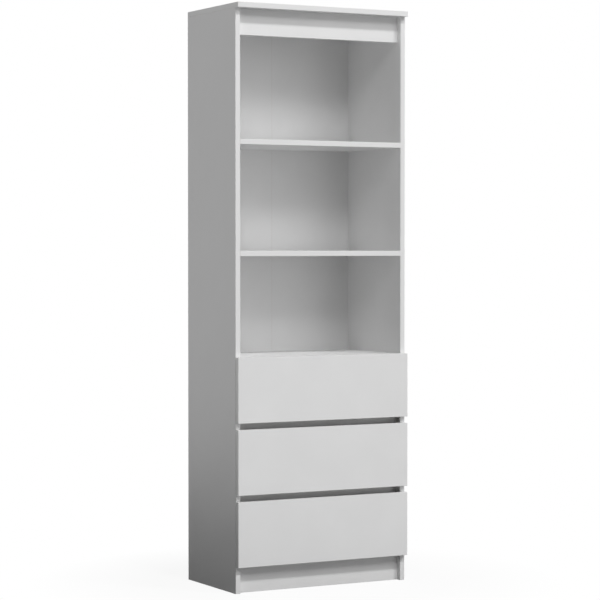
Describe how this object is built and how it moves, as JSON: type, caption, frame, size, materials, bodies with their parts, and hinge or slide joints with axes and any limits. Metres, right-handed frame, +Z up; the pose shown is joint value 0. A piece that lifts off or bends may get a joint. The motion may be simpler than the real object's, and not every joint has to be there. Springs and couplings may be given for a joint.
{
  "type": "bookcase with bottom drawers",
  "caption": "Tall open bookcase with shelves above handleless full-width drawers on roller runners, in white laminated chipboard with a recessed plinth and top rail.",
  "frame": {"origin": "on the floor, under the middle of the bookcase's width and depth", "axes": "+X to the right and +Y to the back as seen from the front, +Z up"},
  "size_m": [0.6, 0.3555, 1.8],
  "materials": {
    "white_laminate": "matte white melamine on chipboard, with white edge banding",
    "white_hardboard": "white lacquered hardboard, brown on its rear face",
    "coated_steel": "white powder coat",
    "zinc_steel": "bright zinc plating",
    "nylon": "smooth nylon",
    "beech_dowel": "fluted beech"
  },
  "bodies": {
    "carcass": {"left_side_panel": "white_laminate", "right_side_panel": "white_laminate", "top_panel": "white_laminate", "top_rail": "white_laminate", "plinth_board": "white_laminate", "upper_cross_rail": "white_laminate", "lower_cross_rail": "white_laminate", "bottom_panel": "white_laminate", "drawer_deck": "white_laminate", "lower_shelf": "white_laminate", "upper_shelf": "white_laminate", "left_back_sheet": "white_hardboard", "right_back_sheet": "white_hardboard", "back_nails": "zinc_steel", "carcass_cam_locks": "zinc_steel", "carcass_cam_bolts": "zinc_steel", "carcass_dowels": "beech_dowel", "carcass_screws": "zinc_steel", "wall_brackets": "zinc_steel", "bottom_left_carcass_runner": "coated_steel", "bottom_right_carcass_runner": "coated_steel", "middle_left_carcass_runner": "coated_steel", "middle_right_carcass_runner": "coated_steel", "top_left_carcass_runner": "coated_steel", "top_right_carcass_runner": "coated_steel"},
    "bottom_drawer": {"bottom_drawer_front": "white_laminate", "bottom_drawer_left_wall": "white_laminate", "bottom_drawer_right_wall": "white_laminate", "bottom_drawer_back_wall": "white_laminate", "bottom_drawer_base": "white_hardboard", "bottom_drawer_left_runner": "coated_steel", "bottom_drawer_right_runner": "coated_steel", "bottom_drawer_fittings": "zinc_steel", "bottom_drawer_screws": "zinc_steel"},
    "bottom_front_rollers_pair": {"bottom_front_rollers": "nylon"},
    "bottom_rear_rollers_pair": {"bottom_rear_rollers": "nylon"},
    "middle_drawer": {"middle_drawer_front": "white_laminate", "middle_drawer_left_wall": "white_laminate", "middle_drawer_right_wall": "white_laminate", "middle_drawer_back_wall": "white_laminate", "middle_drawer_base": "white_hardboard", "middle_drawer_left_runner": "coated_steel", "middle_drawer_right_runner": "coated_steel", "middle_drawer_fittings": "zinc_steel", "middle_drawer_screws": "zinc_steel"},
    "middle_front_rollers_pair": {"middle_front_rollers": "nylon"},
    "middle_rear_rollers_pair": {"middle_rear_rollers": "nylon"},
    "top_drawer": {"top_drawer_front": "white_laminate", "top_drawer_left_wall": "white_laminate", "top_drawer_right_wall": "white_laminate", "top_drawer_back_wall": "white_laminate", "top_drawer_base": "white_hardboard", "top_drawer_left_runner": "coated_steel", "top_drawer_right_runner": "coated_steel", "top_drawer_fittings": "zinc_steel", "top_drawer_screws": "zinc_steel"},
    "top_front_rollers_pair": {"top_front_rollers": "nylon"},
    "top_rear_rollers_pair": {"top_rear_rollers": "nylon"}
  },
  "joints": [
    {"name": "bottom_drawer_slide", "type": "slide", "parent": "carcass", "child": "bottom_drawer", "axis": [0, -1, 0], "range_m": [0, 0.2387]},
    {"name": "bottom_front_rollers_spin", "type": "hinge", "parent": "carcass", "child": "bottom_front_rollers_pair", "pos_m": [0, -0.141, 0.1317], "axis": [1, 0, 0], "continuous": true},
    {"name": "bottom_rear_rollers_spin", "type": "hinge", "parent": "bottom_drawer", "child": "bottom_rear_rollers_pair", "pos_m": [0, 0.1245, 0.1285], "axis": [1, 0, 0], "continuous": true},
    {"name": "middle_drawer_slide", "type": "slide", "parent": "carcass", "child": "middle_drawer", "axis": [0, -1, 0], "range_m": [0, 0.2387]},
    {"name": "middle_front_rollers_spin", "type": "hinge", "parent": "carcass", "child": "middle_front_rollers_pair", "pos_m": [0, -0.141, 0.3517], "axis": [1, 0, 0], "continuous": true},
    {"name": "middle_rear_rollers_spin", "type": "hinge", "parent": "middle_drawer", "child": "middle_rear_rollers_pair", "pos_m": [0, 0.1245, 0.3485], "axis": [1, 0, 0], "continuous": true},
    {"name": "top_drawer_slide", "type": "slide", "parent": "carcass", "child": "top_drawer", "axis": [0, -1, 0], "range_m": [0, 0.2387]},
    {"name": "top_front_rollers_spin", "type": "hinge", "parent": "carcass", "child": "top_front_rollers_pair", "pos_m": [0, -0.141, 0.5717], "axis": [1, 0, 0], "continuous": true},
    {"name": "top_rear_rollers_spin", "type": "hinge", "parent": "top_drawer", "child": "top_rear_rollers_pair", "pos_m": [0, 0.1245, 0.5685], "axis": [1, 0, 0], "continuous": true}
  ],
  "couplings": [
    {"joint": "bottom_front_rollers_spin", "follows": "bottom_drawer_slide", "rad_per_m": 80},
    {"joint": "bottom_rear_rollers_spin", "follows": "bottom_drawer_slide", "rad_per_m": 90.909},
    {"joint": "middle_front_rollers_spin", "follows": "middle_drawer_slide", "rad_per_m": 80},
    {"joint": "middle_rear_rollers_spin", "follows": "middle_drawer_slide", "rad_per_m": 90.909},
    {"joint": "top_front_rollers_spin", "follows": "top_drawer_slide", "rad_per_m": 80},
    {"joint": "top_rear_rollers_spin", "follows": "top_drawer_slide", "rad_per_m": 90.909}
  ]
}
